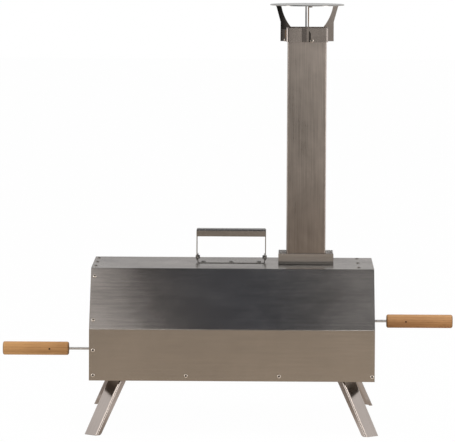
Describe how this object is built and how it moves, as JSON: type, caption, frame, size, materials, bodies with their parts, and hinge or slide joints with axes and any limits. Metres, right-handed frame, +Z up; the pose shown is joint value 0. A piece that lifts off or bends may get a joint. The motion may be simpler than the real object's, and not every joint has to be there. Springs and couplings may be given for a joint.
{
  "type": "tabletop pizza oven",
  "caption": "Tabletop pizza oven of folded steel with a tall square flue and rain cap, carry handle, pull-out fire tray, lift-out door and folding channel legs.",
  "frame": {"origin": "on the ground under the middle of the whole length, grip end to grip end", "axes": "+X towards the door, -X towards the fire tray, +Z up, +Y away from the viewer of the picture"},
  "size_m": [0.693, 0.4036, 0.6415],
  "materials": {
    "brushed_sheet": "brushed",
    "leg_sheet": "satin",
    "inner_sheet": "satin",
    "polished_steel": "polished",
    "wood_grip": "oiled",
    "stone": "matte"
  },
  "bodies": {
    "oven": {"outer_shell": "brushed_sheet", "base_pan": "inner_sheet", "rear_panel": "brushed_sheet", "front_frame": "brushed_sheet", "pizza_stone": "stone", "stone_rail_near": "inner_sheet", "stone_rail_far": "inner_sheet", "flame_guard": "inner_sheet", "tray_runner_near": "inner_sheet", "tray_runner_far": "inner_sheet", "flue_socket": "brushed_sheet", "flue_spigot": "inner_sheet", "socket_screws": "polished_steel", "body_screws": "polished_steel", "handle_base": "brushed_sheet", "handle_rivets": "polished_steel", "handle_bolts": "polished_steel", "handle_nuts": "polished_steel", "leg_bracket_front_near": "inner_sheet", "leg_bracket_front_far": "inner_sheet", "leg_bracket_rear_near": "inner_sheet", "leg_bracket_rear_far": "inner_sheet", "leg_bracket_rivets": "polished_steel", "leg_bolts": "polished_steel", "leg_nuts": "polished_steel"},
    "handle": {"carry_handle": "brushed_sheet"},
    "door": {"door_panel": "brushed_sheet", "door_inner": "inner_sheet", "door_rod": "polished_steel", "door_grip": "wood_grip", "door_grip_pin": "polished_steel", "door_rod_nuts": "polished_steel"},
    "tray": {"fire_tray": "inner_sheet", "fire_grate": "inner_sheet", "tray_front": "brushed_sheet", "tray_rod": "polished_steel", "tray_grip": "wood_grip", "tray_grip_pin": "polished_steel", "tray_rod_nuts": "polished_steel"},
    "flue": {"flue_tube": "brushed_sheet", "cap_collar": "brushed_sheet", "cap_arm_right": "brushed_sheet", "cap_arm_back": "brushed_sheet", "cap_arm_left": "brushed_sheet", "cap_arm_front": "brushed_sheet", "rain_cap": "brushed_sheet", "cap_screws": "polished_steel"},
    "front_near_leg": {"leg_front_near": "leg_sheet"},
    "front_far_leg": {"leg_front_far": "leg_sheet"},
    "rear_near_leg": {"leg_rear_near": "leg_sheet"},
    "rear_far_leg": {"leg_rear_far": "leg_sheet"}
  },
  "joints": [
    {"name": "fold_front_near_leg", "type": "hinge", "parent": "oven", "child": "front_near_leg", "pos_m": [0.17979, -0.1515, 0.08269], "axis": [0.723, 0.6909, 0], "range_deg": [0, 120]},
    {"name": "fold_front_far_leg", "type": "hinge", "parent": "oven", "child": "front_far_leg", "pos_m": [0.17979, 0.1515, 0.08269], "axis": [-0.723, 0.6909, 0], "range_deg": [0, 120]},
    {"name": "fold_rear_near_leg", "type": "hinge", "parent": "oven", "child": "rear_near_leg", "pos_m": [-0.16379, -0.1515, 0.08269], "axis": [0.723, -0.6909, 0], "range_deg": [0, 120]},
    {"name": "fold_rear_far_leg", "type": "hinge", "parent": "oven", "child": "rear_far_leg", "pos_m": [-0.16379, 0.1515, 0.08269], "axis": [-0.723, -0.6909, 0], "range_deg": [0, 120]},
    {"name": "fold_handle", "type": "hinge", "parent": "oven", "child": "handle", "pos_m": [0.005, 0, 0.252], "axis": [1, 0, 0], "range_deg": [-80, 80]},
    {"name": "pull_door", "type": "slide", "parent": "oven", "child": "door", "axis": [1, 0, 0], "range_m": [0, 0.12]},
    {"name": "pull_tray", "type": "slide", "parent": "oven", "child": "tray", "axis": [-1, 0, 0], "range_m": [0, 0.08]},
    {"name": "lift_flue", "type": "slide", "parent": "oven", "child": "flue", "axis": [0, 0, 1], "range_m": [0, 0.06]}
  ]
}
